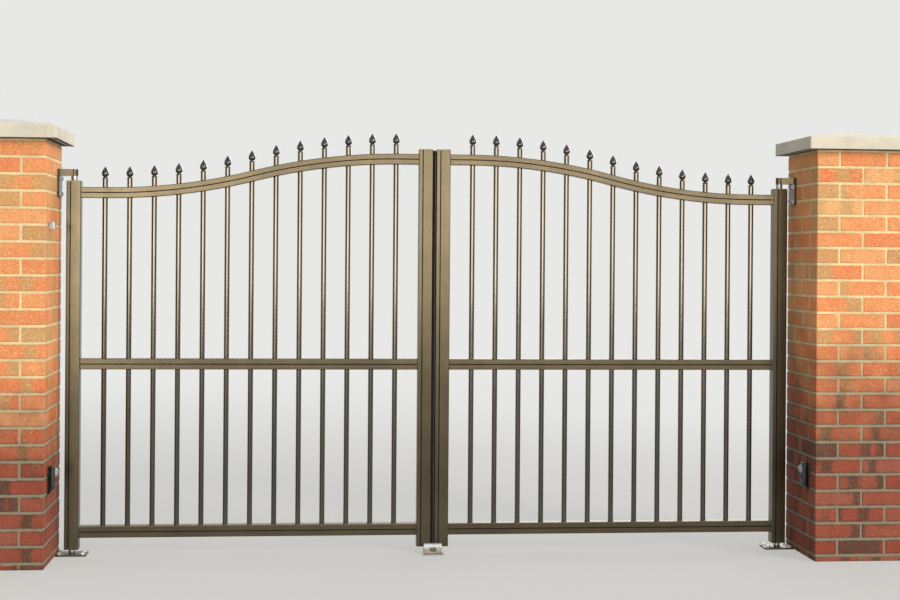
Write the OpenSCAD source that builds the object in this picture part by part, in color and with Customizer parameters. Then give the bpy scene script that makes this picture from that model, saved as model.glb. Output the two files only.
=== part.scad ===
// Double-leaf driveway gate with swan-neck top rails, ball-and-spear finials,
// two brick piers with stone caps, pin hinges, floor pivots and a floor stop.
// Origin: centre of the left pier's foot. X runs along the gate, +Y into the drive, Z up.

/* [Piers] */
// Clear width between the two piers
opening_w = 3500; // [3000:10:4500]
// Side of each square pier
pier_w = 440; // [400:5:560]
// Height of the brickwork from the ground to the underside of the cap
pier_h = 1908; // [1850:1:2300]

/* [Caps] */
// How far a cap overhangs the brickwork on each side
cap_overhang = 50; // [30:1:80]
// Height of a cap's upright edge
cap_edge_h = 60; // [40:1:90]
// Rise of the shallow pyramid on top of a cap
cap_rise = 45; // [20:1:80]
// Width of the drip groove under a cap
drip_w = 12; // [6:1:16]
// Depth of the drip groove
drip_depth = 8; // [4:1:14]
// Distance from a cap's edge to the drip groove
drip_inset = 15; // [10:1:16]

/* [Leaf layout] */
// Distance from the piers' front face to the middle plane of the leaves
leaf_set_back = 355; // [300:1:365]
// Gap between a pier and the hinge stile
reveal_gap = 38; // [30:1:50]
// Gap between the two meeting stiles
meeting_gap = 18; // [12:1:24]
// Height of the stiles' lower ends above the ground
leaf_clear = 28; // [28:1:60]
// Height of the bottom rail's underside
bottom_rail_z = 82; // [75:1:200]
// Height of the mid rail's underside
mid_rail_z = 864; // [700:1:1000]
// Distance from the top of the brickwork down to the top rail's underside at the hinge stile
top_rail_drop = 247; // [220:1:300]
// How much higher the top rail ends at the meeting stile
top_rail_rise = 174; // [100:1:220]
// Straight length of the top rail next to the hinge stile
hinge_end_flat = 117; // [60:1:200]
// Least straight length of the top rail next to the meeting stile
meeting_end_flat = 96; // [60:1:200]

/* [Stiles and rails] */
// Width of a stile
stile_w = 66; // [56:1:76]
// Depth of a stile
stile_d = 60; // [54:1:66]
// Height of the top and mid rails
rail_h = 50; // [46:1:56]
// Height of the bottom rail
bottom_rail_h = 54; // [46:1:60]
// Depth of the rails
rail_d = 50; // [44:1:52]
// Rounding of the long edges of stiles and rails
edge_r = 3; // [1:0.5:5]
// Width of the groove along stiles and rails
groove_w = 5; // [2:0.5:7]
// Depth of that groove
groove_d = 3; // [1:0.5:4]
// Distance from a stile's edge to the middle of its groove
stile_groove_in = 19; // [15:1:26]
// Height of the hinge stile above the top rail
hinge_stile_over = 24; // [18:1:40]
// Height of the meeting stile above the top rail
meeting_stile_over = 18; // [12:1:40]
// Thickness of the cap that closes a stile
stile_cap_t = 5; // [4:1:8]
// Height and width of the step round the top of that cap
stile_cap_step = 2; // [1:0.5:3]
// Gap between the rebate strip and the stile that it closes against
strip_clear = 5; // [5:1:8]

/* [Bars and finials] */
// Number of bars in a leaf
bar_count = 13; // [7:1:15]
// Diameter of a bar
bar_d = 25; // [20:1:28]
// Distance from a stile to the middle of the bar next to it
end_space = 107.5; // [80:0.5:140]
// Length of bar that shows above the top rail
bar_stub = 42; // [30:1:60]
// Height of a finial
finial_h = 54; // [50:1:66]
// Diameter of a finial's ball
finial_d = 31; // [29:1:36]
// Clearance round a bar where it passes through a rail
bar_clear = 0.3; // [0.1:0.1:0.5]

/* [Hinges and pivots] */
// Radius of the hinge and pivot pins
pin_r = 8; // [6:0.5:10]
// Running clearance round a pin
pin_clear = 0.1; // [0.05:0.01:0.1]
// Wall of a pivot bush
bush_wall = 7; // [5:0.5:9]
// Height of the bush on top of the hinge stile
top_bush_h = 22; // [15:1:30]
// Height of the bush under the hinge stile
bottom_bush_h = 14; // [10:1:16]
// Clear height between two pivot faces
face_gap = 0.5; // [0.3:0.1:1]
// Thickness of the hinge plate on the pier
hinge_plate_t = 8; // [6:1:12]
// Width of the hinge plate
hinge_plate_w = 90; // [80:1:120]
// Length of the hinge plate below the arm
hinge_plate_drop = 100; // [80:1:140]
// Height of the hinge arm
hinge_arm_h = 31; // [25:1:40]
// Width of the hinge arm where it meets the plate
hinge_arm_w = 52; // [42:1:70]
// Thickness of the floor pivot's plate
pivot_plate_t = 8; // [6:1:10]
// Width of the floor pivot's plate
pivot_plate_w = 100; // [80:1:130]
// How much of a pin's length stays clear of the end of its bush
pin_end_gap = 4; // [2:1:6]

/* [Floor stop] */
// Width of the floor stop
stop_w = 84; // [70:1:120]
// Width of its foot
stop_foot_w = 96; // [84:1:130]
// Height of the floor stop
stop_h = 50; // [45:1:60]
// Length of the flat foot in front of the sloping face
stop_foot_l = 24; // [20:1:40]
// Angle of the sloping face above the ground
stop_slope = 62; // [50:1:75]
// Thickness of the stop's folded sheet
stop_t = 6; // [4:1:7]
// Outside radius of the fold on top
stop_fold_r = 17; // [12:1:18]
// Gap between the stop and the closed leaves
stop_gap = 5; // [5:1:8]
// Width of the oval bolt hole in the sloping face
stop_slot_w = 32; // [25:1:40]
// Height of that hole
stop_slot_h = 18; // [12:1:18]

/* [Fittings on the piers] */
// Height of the photocells' middle
photocell_z = 385; // [300:1:700]
// Distance from the piers' front face to the photocells' middle
photocell_in = 110; // [80:1:140]
// Height of a photocell
photocell_h = 125; // [100:1:150]
// Width of a photocell
photocell_w = 50; // [44:1:70]
// How far a photocell's box stands out from the pier
photocell_t = 30; // [24:1:36]
// Rounding of a photocell's corners
photocell_r = 8; // [3:1:15]
// Height of the part of a photocell that slants back to the pier at its foot
nose_h = 28; // [15:1:40]
// Thickness left at a photocell's lower end
nose_t = 8; // [5:1:15]
// Diameter of a photocell's window
lens_d = 44; // [30:1:46]
// How far the window bulges out of the box
lens_bulge = 15; // [6:1:18]
// Distance from a photocell's top down to the middle of its window
lens_drop = 31; // [25:1:50]
// Height of the small cleat on the left pier
cleat_z = 1526; // [1200:1:1560]
// Distance from the piers' front face to the cleat's middle
cleat_in = 92; // [50:1:120]
// Width and height of the cleat
cleat_w = 30; // [24:1:40]
// How far the cleat stands out from the pier
cleat_out = 27; // [20:1:34]
// Thickness of the cleat's metal
cleat_t = 4; // [2:1:6]

/* [Hidden] */
$fn = 64;

// Fineness of the rail's wide curves
curve_fn = 720;
// Length or angle by which a cut runs past a face
past = 1;

brick_c = [0.66, 0.30, 0.20];
stone_c = [0.86, 0.83, 0.74];
paint_c = [0.10, 0.10, 0.09];
finial_c = [0.25, 0.26, 0.27];
zinc_c = [0.70, 0.71, 0.72];
plastic_c = [0.07, 0.07, 0.08];
lens_c = [0.45, 0.47, 0.50];

pier_half = pier_w / 2;
left_reveal_x = pier_half;
right_reveal_x = left_reveal_x + opening_w;
right_pier_x = right_reveal_x + pier_half;
middle_x = left_reveal_x + opening_w / 2;
pier_front_y = -pier_half;
leaf_y = pier_front_y + leaf_set_back;

// Leaf sizes, in the leaf's own frame: X from the pivot axis towards the meeting stile
pivot_in = reveal_gap + stile_w / 2;
leaf_w = (opening_w - meeting_gap) / 2 - reveal_gap;
inner_x0 = stile_w / 2;
inner_w = leaf_w - 2 * stile_w;
inner_x1 = inner_x0 + inner_w;
meeting_x = inner_x1 + stile_w / 2;
bar_pitch = (inner_w - 2 * end_space) / (bar_count - 1);
bar_r = bar_d / 2;
bars_x = [for (i = [0 : bar_count - 1]) inner_x0 + end_space + i * bar_pitch];

// The top rail: straight, hollow curve, round curve, straight. The two curves have
// one radius and meet without a kink half way up the rise. Their run is a whole number
// of fifths of the rise, so that the radius is a round number and they meet exactly.
run_fifths = floor(5 * (inner_w - hinge_end_flat - meeting_end_flat) / top_rail_rise);
curve_run = top_rail_rise * run_fifths / 5;
curve_turn = 2 * atan(top_rail_rise / curve_run);
curve_r = top_rail_rise * (pow(run_fifths / 10, 2) + 0.25);
curve_x0 = inner_x0 + hinge_end_flat;
curve_x1 = curve_x0 + curve_run;
curve_mid_x = (curve_x0 + curve_x1) / 2;
rail_z0 = pier_h - top_rail_drop + rail_h / 2;
rail_z1 = rail_z0 + top_rail_rise;
curve_mid_z = (rail_z0 + rail_z1) / 2;
function rail_centre_z(x) =
    x <= curve_x0 ? rail_z0 :
    x >= curve_x1 ? rail_z1 :
    x < curve_mid_x ? rail_z0 + curve_r - sqrt(pow(curve_r, 2) - pow(x - curve_x0, 2)) :
    rail_z1 - curve_r + sqrt(pow(curve_r, 2) - pow(curve_x1 - x, 2));
// Height at which a bar ends, a stub's length above the rail
function bar_top_z(x) = rail_centre_z(x) + rail_h / 2 + bar_stub;

bar_foot_z = bottom_rail_z + bottom_rail_h;
hinge_stile_top = rail_z0 + rail_h / 2 + hinge_stile_over;
meeting_stile_top = rail_z1 + rail_h / 2 + meeting_stile_over;

// Hinge and pivot heights
bush_r = pin_r + bush_wall;
bush_bore_r = pin_r + pin_clear;
top_bush_z = hinge_stile_top + stile_cap_t;
arm_z = top_bush_z + top_bush_h + face_gap;
arm_top_z = arm_z + hinge_arm_h;
bottom_bush_z = leaf_clear - bottom_bush_h;
knuckle_r = bush_r + 2;
seat_r = bush_r - 1;

// A rectangle with round corners, centred
module rounded(w, d, r) {
    square([w - 2 * r, d], center = true);
    square([w, d - 2 * r], center = true);
    for (x = [-1, 1], y = [-1, 1])
        translate([x * (w / 2 - r), y * (d / 2 - r)]) circle(r);
}

// Stile section: one groove on the front and one on the back, set diagonally
module stile_section(side) {
    difference() {
        rounded(stile_w, stile_d, edge_r);
        for (s = [-1, 1])
            translate([s * side * (stile_w / 2 - stile_groove_in), s * stile_d / 2])
                square([groove_w, 2 * groove_d], center = true);
    }
}

// Rail section: height along the first axis, grooves at mid height front and back
module rail_section(h) {
    difference() {
        rounded(h, rail_d, edge_r);
        for (s = [-1, 1])
            translate([0, s * rail_d / 2]) square([groove_w, 2 * groove_d], center = true);
    }
}

module left_leaf() { translate([left_reveal_x + pivot_in, leaf_y, 0]) children(); }
module right_leaf() {
    translate([right_reveal_x - pivot_in, leaf_y, 0]) mirror([1, 0, 0]) children();
}
module left_side() { translate([left_reveal_x, 0, 0]) children(); }
module right_side() { translate([right_reveal_x, 0, 0]) mirror([1, 0, 0]) children(); }

// A straight rail of height h between the stiles, its underside at z
module straight_rail(h, z, x0, x1) {
    translate([x0, 0, z + h / 2]) rotate([0, 90, 0]) linear_extrude(x1 - x0) rail_section(h);
}

// One curve of the top rail about a centre at (x, z), made a little long and then
// cut off square where the two curves meet; side is -1 before that point and 1 after it
module curved_rail(x, z, from, side) {
    reach_z = top_rail_rise + rail_h;
    intersection() {
        translate([x, 0, z]) rotate([90, 0, 0]) rotate([0, 0, from])
            rotate_extrude(angle = curve_turn + past, $fn = curve_fn)
                translate([curve_r, 0]) rail_section(rail_h);
        translate([curve_mid_x, 0, curve_mid_z]) rotate([0, -curve_turn, 0])
            translate([side < 0 ? -curve_run : 0, -rail_d, -reach_z])
                cube([curve_run, 2 * rail_d, 2 * reach_z]);
    }
}

// Holes for the bars through a rail
module bar_holes(z0, z1) {
    for (x = bars_x) translate([x, 0, z0]) cylinder(r = bar_r + bar_clear, h = z1 - z0);
}

module stile(top, side) {
    color(paint_c) translate([0, 0, leaf_clear]) linear_extrude(top - leaf_clear) stile_section(side);
}

module top_rail() {
    color(paint_c) difference() {
        union() {
            straight_rail(rail_h, rail_z0 - rail_h / 2, inner_x0, curve_x0);
            curved_rail(curve_x0, rail_z0 + curve_r, 270, -1);
            curved_rail(curve_x1, rail_z1 - curve_r, 90, 1);
            straight_rail(rail_h, rail_z1 - rail_h / 2, curve_x1, inner_x1);
        }
        bar_holes(rail_z0 - rail_h, rail_z1 + rail_h);
    }
}

module mid_rail() {
    color(paint_c) difference() {
        straight_rail(rail_h, mid_rail_z, inner_x0, inner_x1);
        bar_holes(mid_rail_z - past, mid_rail_z + rail_h + past);
    }
}

module bottom_rail() {
    color(paint_c) straight_rail(bottom_rail_h, bottom_rail_z, inner_x0, inner_x1);
}

// The bars stand on the bottom rail and pass through the mid and top rails
module bars() {
    color(paint_c) for (x = bars_x)
        translate([x, 0, bar_foot_z]) cylinder(r = bar_r, h = bar_top_z(x) - bar_foot_z);
}

// A finial: base ring, waist, ball, and a spear that runs out to a blunt tip
module finial() {
    ball_r = finial_d / 2;
    ring_r = bar_r + 1.5;
    ring_h = 6;
    ring_round = 1.5;
    waist_r = 8;
    ball_z = 21;
    tip_r = 1.6;
    tip_z = finial_h - tip_r;
    // Angle at which the spear's straight flank leaves the ball
    flank = asin((ball_r - tip_r) / (tip_z - ball_z));
    color(finial_c) rotate_extrude() {
        square([ring_r, ring_h - ring_round]);
        square([ring_r - ring_round, ring_h]);
        translate([ring_r - ring_round, ring_h - ring_round]) circle(ring_round);
        square([waist_r, ball_z]);
        half_round(ball_r, ball_z);
        half_round(tip_r, tip_z);
        polygon([[0, ball_z], [ball_r * cos(flank), ball_z + ball_r * sin(flank)],
            [tip_r * cos(flank), tip_z + tip_r * sin(flank)], [0, tip_z]]);
    }
}

// Right half of a circle whose centre is on the axis at height z
module half_round(r, z) {
    translate([0, z]) intersection() {
        circle(r);
        translate([0, -r]) square([r, 2 * r]);
    }
}

module finials() {
    for (x = bars_x) translate([x, 0, bar_top_z(x)]) finial();
}

// A stile's end cap: a plate with a stepped upper edge
module stile_cap() {
    color(paint_c) {
        linear_extrude(stile_cap_t - stile_cap_step) rounded(stile_w, stile_d, edge_r);
        linear_extrude(stile_cap_t)
            rounded(stile_w - 2 * stile_cap_step, stile_d - 2 * stile_cap_step, edge_r);
    }
}

module stile_caps() {
    translate([0, 0, hinge_stile_top]) stile_cap();
    translate([meeting_x, 0, meeting_stile_top]) stile_cap();
}

// A bush of height h with its bore right through
module bush(h) {
    color(finial_c) difference() {
        cylinder(r = bush_r, h = h);
        translate([0, 0, -past]) cylinder(r = bush_bore_r, h = h + 2 * past);
    }
}

module bushes() {
    translate([0, 0, top_bush_z]) bush(top_bush_h);
    translate([0, 0, bottom_bush_z]) bush(bottom_bush_h);
}

// Flat strip on the left leaf that closes most of the gap between the stiles
module meeting_strip() {
    strip_w = meeting_gap - strip_clear;
    strip_d = stile_d / 2;
    color(paint_c) translate([meeting_x + stile_w / 2, -strip_d / 2, leaf_clear])
        cube([strip_w, strip_d, meeting_stile_top - leaf_clear]);
}

module pier() {
    color(brick_c) translate([-pier_half, -pier_half, 0]) cube([pier_w, pier_w, pier_h]);
}

// A cap: square slab with a shallow pyramid, and a drip groove underneath
module pier_cap() {
    cap_w = pier_w + 2 * cap_overhang;
    half = cap_w / 2;
    groove_out = cap_w - 2 * drip_inset;
    groove_in = groove_out - 2 * drip_w;
    color(stone_c) translate([0, 0, pier_h]) difference() {
        union() {
            translate([-half, -half, 0]) cube([cap_w, cap_w, cap_edge_h]);
            polyhedron(
                points = [[-half, -half, cap_edge_h], [half, -half, cap_edge_h],
                    [half, half, cap_edge_h], [-half, half, cap_edge_h],
                    [0, 0, cap_edge_h + cap_rise],
                    [-half, -half, cap_edge_h - past], [half, -half, cap_edge_h - past],
                    [half, half, cap_edge_h - past], [-half, half, cap_edge_h - past]],
                faces = [[0, 4, 1], [1, 4, 2], [2, 4, 3], [3, 4, 0],
                    [5, 0, 1, 6], [6, 1, 2, 7], [7, 2, 3, 8], [8, 3, 0, 5], [5, 6, 7, 8]]);
        }
        translate([0, 0, drip_depth / 2 - past / 2]) difference() {
            cube([groove_out, groove_out, drip_depth + past], center = true);
            cube([groove_in, groove_in, drip_depth + 2 * past], center = true);
        }
    }
}

// Plate on the pier's reveal
module hinge_plate() {
    z0 = arm_z - hinge_plate_drop;
    color(paint_c) translate([0, leaf_y, (z0 + arm_top_z) / 2]) rotate([0, 90, 0])
        linear_extrude(hinge_plate_t) rounded(arm_top_z - z0, hinge_plate_w, edge_r);
}

// Arm from the plate to the knuckle, with the pin that reaches down into the bush
module hinge_arm() {
    color(paint_c) {
        translate([0, leaf_y, arm_z]) linear_extrude(hinge_arm_h) {
            polygon([[hinge_plate_t, -hinge_arm_w / 2], [pivot_in, -bush_r],
                [pivot_in, bush_r], [hinge_plate_t, hinge_arm_w / 2]]);
            translate([pivot_in, 0]) circle(knuckle_r);
        }
        translate([pivot_in, leaf_y, top_bush_z + pin_end_gap])
            cylinder(r = pin_r, h = arm_z - top_bush_z - pin_end_gap + past);
    }
}

// Floor pivot: a plate with a raised seat and a pin up into the lower bush
module floor_pivot() {
    color(paint_c) translate([pivot_in, leaf_y, 0]) {
        linear_extrude(pivot_plate_t) rounded(2 * (pivot_in - face_gap), pivot_plate_w, edge_r);
        cylinder(r = seat_r, h = bottom_bush_z - face_gap);
        cylinder(r = pin_r, h = leaf_clear - pin_end_gap / 2);
    }
}

// Floor stop: a folded sheet with an upright back, a round fold on top and a
// sloping face with an oval bolt hole, which runs out into a flat foot
module floor_stop() {
    back_y = leaf_y - stile_d / 2 - stop_gap;
    color(zinc_c) translate([middle_x, back_y, 0]) {
        difference() {
            stop_sheet(stop_w) stop_outline(stop_fold_r);
            stop_sheet(stop_w + 2 * past) stop_hollow();
            translate([0, -stop_fold_r, stop_h / 2 - stop_t / 2])
                rotate([90, 0, 0]) linear_extrude(stop_h) stop_slot();
        }
        stop_sheet(stop_foot_w) translate([stop_face_y(stop_fold_r, stop_t), 0])
            square([stop_foot_l, stop_t]);
    }
}

// Runs an outline, drawn as distance from the leaves and height, along the gate
module stop_sheet(w) {
    rotate([90, 0, -90]) translate([0, 0, -w / 2]) linear_extrude(w) children();
}

// Distance from the stop's back to its sloping face at height z, for a fold of radius r
function stop_face_y(r, z) = stop_fold_r + r * sin(stop_slope)
    + (stop_h - stop_fold_r + r * cos(stop_slope) - z) / tan(stop_slope);

// The stop's outer outline; with a smaller radius, the hollow under the sheet
module stop_outline(r) {
    fold_z = stop_h - stop_fold_r;
    translate([stop_fold_r, fold_z]) circle(r);
    polygon([[stop_fold_r - r, 0], [stop_fold_r - r, fold_z], [stop_fold_r, fold_z],
        [stop_fold_r + r * sin(stop_slope), fold_z + r * cos(stop_slope)], [stop_face_y(r, 0), 0]]);
}

module stop_hollow() {
    r = stop_fold_r - stop_t;
    stop_outline(r);
    translate([stop_fold_r - r, -past]) square([stop_face_y(r, 0) - stop_fold_r + r, past]);
}

module stop_slot() {
    r = stop_slot_h / 2;
    square([stop_slot_w - 2 * r, stop_slot_h], center = true);
    for (s = [-1, 1]) translate([s * (stop_slot_w / 2 - r), 0]) circle(r);
}

// Photocell: a flat box with round corners on the pier's reveal, its foot cut back slantwise
module photocell() {
    foot = -photocell_h / 2;
    color(plastic_c) translate([0, pier_front_y + photocell_in, photocell_z]) difference() {
        rotate([0, 90, 0]) linear_extrude(photocell_t) rounded(photocell_h, photocell_w, photocell_r);
        translate([0, photocell_w, 0]) rotate([90, 0, 0]) linear_extrude(2 * photocell_w)
            polygon([[nose_t, foot - past], [nose_t, foot], [photocell_t, foot + nose_h],
                [photocell_t + past, foot + nose_h], [photocell_t + past, foot - past]]);
    }
}

// Bulging window in the upper half of a photocell
module lens() {
    rim_t = 2;
    r = lens_d / 2;
    dome = lens_bulge - rim_t;
    dome_r = (r * r + dome * dome) / (2 * dome);
    lens_z = photocell_z + photocell_h / 2 - lens_drop;
    color(lens_c) translate([photocell_t, pier_front_y + photocell_in, lens_z])
        rotate([0, 90, 0]) {
            cylinder(r = r, h = rim_t);
            intersection() {
                translate([0, 0, lens_bulge - dome_r]) sphere(dome_r, $fn = 128);
                translate([0, 0, rim_t]) cylinder(r = r, h = dome);
            }
        }
}

// Small cleat on the left pier: a short channel, open below
module cleat() {
    color(zinc_c) translate([0, pier_front_y + cleat_in, cleat_z]) rotate([0, 90, 0])
        linear_extrude(cleat_out) difference() {
            square(cleat_w, center = true);
            translate([cleat_t, 0]) square([cleat_w, cleat_w - 2 * cleat_t], center = true);
        }
}

pier();  // left_pier
translate([right_pier_x, 0, 0]) pier();  // right_pier
pier_cap();  // left_cap
translate([right_pier_x, 0, 0]) pier_cap();  // right_cap
left_side() hinge_plate();  // left_hinge_plate
left_side() hinge_arm();  // left_hinge_arm
right_side() hinge_plate();  // right_hinge_plate
right_side() hinge_arm();  // right_hinge_arm
left_side() floor_pivot();  // left_floor_pivot
right_side() floor_pivot();  // right_floor_pivot
floor_stop();
left_side() photocell();  // left_photocell
left_side() lens();  // left_lens
right_side() photocell();  // right_photocell
right_side() lens();  // right_lens
left_side() cleat();  // wall_cleat
left_leaf() stile(hinge_stile_top, 1);  // left_hinge_stile
left_leaf() translate([meeting_x, 0, 0]) stile(meeting_stile_top, 1);  // left_meeting_stile
left_leaf() top_rail();  // left_top_rail
left_leaf() mid_rail();  // left_mid_rail
left_leaf() bottom_rail();  // left_bottom_rail
left_leaf() bars();  // left_bars
left_leaf() finials();  // left_finials
left_leaf() stile_caps();  // left_stile_caps
left_leaf() bushes();  // left_bushes
left_leaf() meeting_strip();  // rebate_strip
right_leaf() stile(hinge_stile_top, -1);  // right_hinge_stile
right_leaf() translate([meeting_x, 0, 0]) stile(meeting_stile_top, -1);  // right_meeting_stile
right_leaf() top_rail();  // right_top_rail
right_leaf() mid_rail();  // right_mid_rail
right_leaf() bottom_rail();  // right_bottom_rail
right_leaf() bars();  // right_bars
right_leaf() finials();  // right_finials
right_leaf() stile_caps();  // right_stile_caps
right_leaf() bushes();  // right_bushes
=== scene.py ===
"""Looks of the driveway gate: brick piers, stone caps, painted leaves, fittings and the stage."""
from collections import namedtuple

import bpy
import numpy as np
from bpy.props import FloatProperty, FloatVectorProperty, IntProperty, PointerProperty
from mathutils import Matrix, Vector


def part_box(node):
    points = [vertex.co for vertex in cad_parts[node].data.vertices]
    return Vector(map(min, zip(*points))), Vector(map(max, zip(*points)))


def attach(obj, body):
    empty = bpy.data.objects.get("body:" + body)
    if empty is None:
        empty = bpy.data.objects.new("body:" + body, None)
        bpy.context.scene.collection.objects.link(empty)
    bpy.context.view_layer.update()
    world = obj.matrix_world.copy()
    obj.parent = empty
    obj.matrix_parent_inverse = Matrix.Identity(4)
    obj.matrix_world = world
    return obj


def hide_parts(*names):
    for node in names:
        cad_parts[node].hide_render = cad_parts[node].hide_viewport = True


bl_info = {
    "name": "Driveway gate",
    "version": (1, 0, 0),
    "blender": (4, 5, 0),
    "location": "View3D > Sidebar > Gate",
    "description": "Brickwork, stone, paint and fittings of a double-leaf driveway gate",
    "category": "Object",
}

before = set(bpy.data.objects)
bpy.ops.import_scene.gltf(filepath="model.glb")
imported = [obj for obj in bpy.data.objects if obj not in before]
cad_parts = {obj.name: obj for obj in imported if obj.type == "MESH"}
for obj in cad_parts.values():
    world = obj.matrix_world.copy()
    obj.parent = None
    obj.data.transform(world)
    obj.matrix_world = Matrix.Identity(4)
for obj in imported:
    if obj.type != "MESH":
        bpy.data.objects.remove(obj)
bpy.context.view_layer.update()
SIDES = ("left", "right")
INTO_OPENING = {"left": 1, "right": -1}  # direction along X in which a pier's fittings face
BAR_COUNT = 13
GATE_MIDDLE = 1.97  # along X, half way between the piers
TAU = 2 * np.pi
Box = namedtuple("Box", "low high size centre")


def tint(red, green, blue):
    """The linear colour of a display colour whose channels run from 0 to 255."""
    c = np.array([red, green, blue]) / 255
    linear = np.where(c <= 0.04045, c / 12.92, ((c + 0.055) / 1.055) ** 2.4)
    return tuple(float(v) for v in linear)


def number(name, default, description, **kind):
    """A setting. kind holds its unit or subtype and its limits."""
    return FloatProperty(name=name, default=default, description=description, **kind)


def length(name, default, description):
    return number(name, default, description, unit="LENGTH", min=0)


def share(name, default, description):
    return number(name, default, description, subtype="FACTOR", min=0, max=1)


def power(name, default, description):
    return number(name, default, description, unit="POWER", min=0)


def colour(name, default, description):
    return FloatVectorProperty(
        name=name, default=tint(*default), description=description, subtype="COLOR", min=0, max=1
    )


class GateBrickSettings(bpy.types.PropertyGroup):
    """Sizes and colours of the brickwork."""

    length: length("Brick length", 0.215, "Length of a brick")
    width: length("Brick width", 0.1025, "Width of a brick")
    height: length("Brick height", 0.065, "Height of a brick")
    joint: length("Joint", 0.010, "Thickness of a mortar joint")
    recess: length("Joint recess", 0.0030, "How far the mortar stays behind the bricks' faces")
    arris: length("Arris", 0.0030, "Rounding of a brick's edges")
    wander: length("Wander", 0.0008, "How far a brick may stand back from the face")
    seed: IntProperty(name="Seed", default=7, description="Start of the random draws")
    red: colour("Red", (232, 126, 78), "Deepest red of the bricks")
    orange: colour("Orange", (242, 152, 96), "Most common colour of the bricks")
    salmon: colour("Salmon", (248, 182, 124), "Palest colour of the bricks")
    flash: colour("Kiln mark", (204, 164, 110), "Colour of the bands left by the kiln")
    # The low kiln mark and the damp tint are painted shade on the lower courses, partly damp.
    flash_low_shaded: colour("Low kiln mark", (66, 58, 48), "Colour of those bands near the ground")
    damp_and_shaded: colour("Damp", (160, 132, 160), "Tint of the damp bricks near the ground")
    mortar: colour("Mortar", (252, 230, 178), "Colour of the mortar")
    # The low mortar colour is a shaded copy of the mortar: painted shade near the ground, partly dirt.
    mortar_low_shaded: colour("Low mortar", (134, 129, 113), "Colour of the mortar near the ground")


class GateCapSettings(bpy.types.PropertyGroup):
    """Sizes and colours of the stone caps."""

    edge: length("Edge height", 0.060, "Height of a cap's upright edge")
    arris: length("Arris", 0.004, "Rounding of a cap's edges")
    drip_in: length("Drip inset", 0.015, "Distance from the edge to the drip groove")
    drip_width: length("Drip width", 0.012, "Width of the drip groove")
    drip_depth: length("Drip depth", 0.008, "Depth of the drip groove")
    stone: colour("Stone", (228, 222, 205), "Main colour of the stone")
    weather: colour("Weathering", (176, 174, 162), "Colour of weathered stone")
    # The underside colour is painted shade on the caps' undersides, partly real staining.
    soot_and_shade: colour("Soot", (34, 31, 28), "Colour of the stained underside")


class GatePaintSettings(bpy.types.PropertyGroup):
    """Finish of the leaves and the hinges, and sizes of the finials and welds."""

    bronze: colour("Bronze", (78, 70, 54), "Main colour of the satin paint")
    shade: colour("Shade", (67, 60, 47), "Darker tone of the satin paint")
    finial: colour("Finial", (44, 46, 48), "Colour of the finials")
    # The groove colour is painted shade in the grooves, partly dirt.
    groove: colour("Groove", (24, 22, 19), "Colour of the dirt in the grooves")
    # On the rails this dust colour also serves as a painted sheen on top faces.
    dust: colour("Dust", (168, 158, 136), "Colour of the dust on it")
    roughness: share("Roughness", 0.26, "Roughness of the satin paint")
    metallic: share("Metallic", 0.85, "Share of metal flake in the paint")
    weld: length("Weld", 0.0017, "Radius of the weld round a bar")
    bead: length("Rail weld", 0.0022, "Radius of the weld between rail and stile")
    bar_corner: length("Bar corner", 0.0006, "Corner on the ends of a bar")
    collar: length("Collar", 0.0145, "Radius of a finial's collar")
    collar_height: length("Collar height", 0.0038, "Height of a finial's collar")
    neck: length("Neck", 0.0082, "Radius of a finial's neck")
    neck_height: length("Neck height", 0.0036, "Height of a finial's neck")
    drop: length("Drop", 0.0170, "Largest radius of a finial's drop")
    drop_height: length("Drop height", 0.0475, "Height of a finial's drop")
    # The closing lip is a dark strip that stands for shade in the gap between the leaves, partly a real
    # seal.
    lip: length("Closing lip", 0.0018, "Thickness of the rubber on the right meeting stile")


class GateFittingSettings(bpy.types.PropertyGroup):
    """Sizes and colours of the bolts and the photocells."""

    head: length("Bolt head", 0.017, "Width across the flats of a bolt head")
    head_height: length("Bolt head height", 0.007, "Height of a bolt head")
    anchor: length("Anchor", 0.010, "Width across the flats of the anchor in the stop")
    inset: length("Bolt inset", 0.017, "Distance from a plate's edge to its bolts")
    bezel: length("Bezel", 0.0016, "Radius of the ring round a photocell's window")
    zinc: colour("Zinc", (168, 170, 172), "Colour of the galvanised steel")
    plastic: colour("Plastic", (17, 17, 18), "Colour of the photocells' housings")
    # The window colour is lighter than smoked plastic: a painted reflection.
    window: colour("Window", (150, 154, 158), "Colour of the photocells' windows")
    # The seal colour is painted shade in the gap between the leaves, partly black rubber.
    rubber: colour("Rubber", (14, 14, 14), "Colour of the seal between the leaves")


class GateStageSettings(bpy.types.PropertyGroup):
    """Floor, lamps and camera."""

    floor: colour("Floor", (196, 194, 190), "Colour of the floor")
    backdrop: colour("Backdrop", (232, 232, 230), "Colour behind the gate")
    front: power("Front light", 760, "Power of the light in front")
    left: power("Left light", 95, "Power of the light at the left")
    fill: power("Fill light", 320, "Power of the light on matt faces")
    key: power("Key light", 20000, "Power of the far light from the right")
    back: power("Back light", 300, "Power of the light behind")
    sky: number("Sky light", 0.17, "Strength of the light from all round")
    side: number("Sky side", 0.16, "How much stronger the sky is on the right")
    above: number("Sky above", 0.6, "How much stronger the sky is overhead")
    eye: FloatVectorProperty(
        name="Camera", default=(1.3658, -7.2091, 1.3902), subtype="TRANSLATION",
        description="Place of the camera",
    )
    lens: number("Lens", 62.02, "Focal length", unit="CAMERA")
    turn: number("Turn", np.radians(-5.3025), "Turn of the camera", subtype="ANGLE")
    roll: number("Roll", np.radians(-0.4226), "Roll of the camera", subtype="ANGLE")
    shift: number("Shift", -0.04585, "Upward shift of the camera's frame")


def box(node):
    """Lowest corner, highest corner, size and centre of a CAD node."""
    low, high = (np.array(corner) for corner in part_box(node))
    return Box(low, high, high - low, (low + high) / 2)


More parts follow.
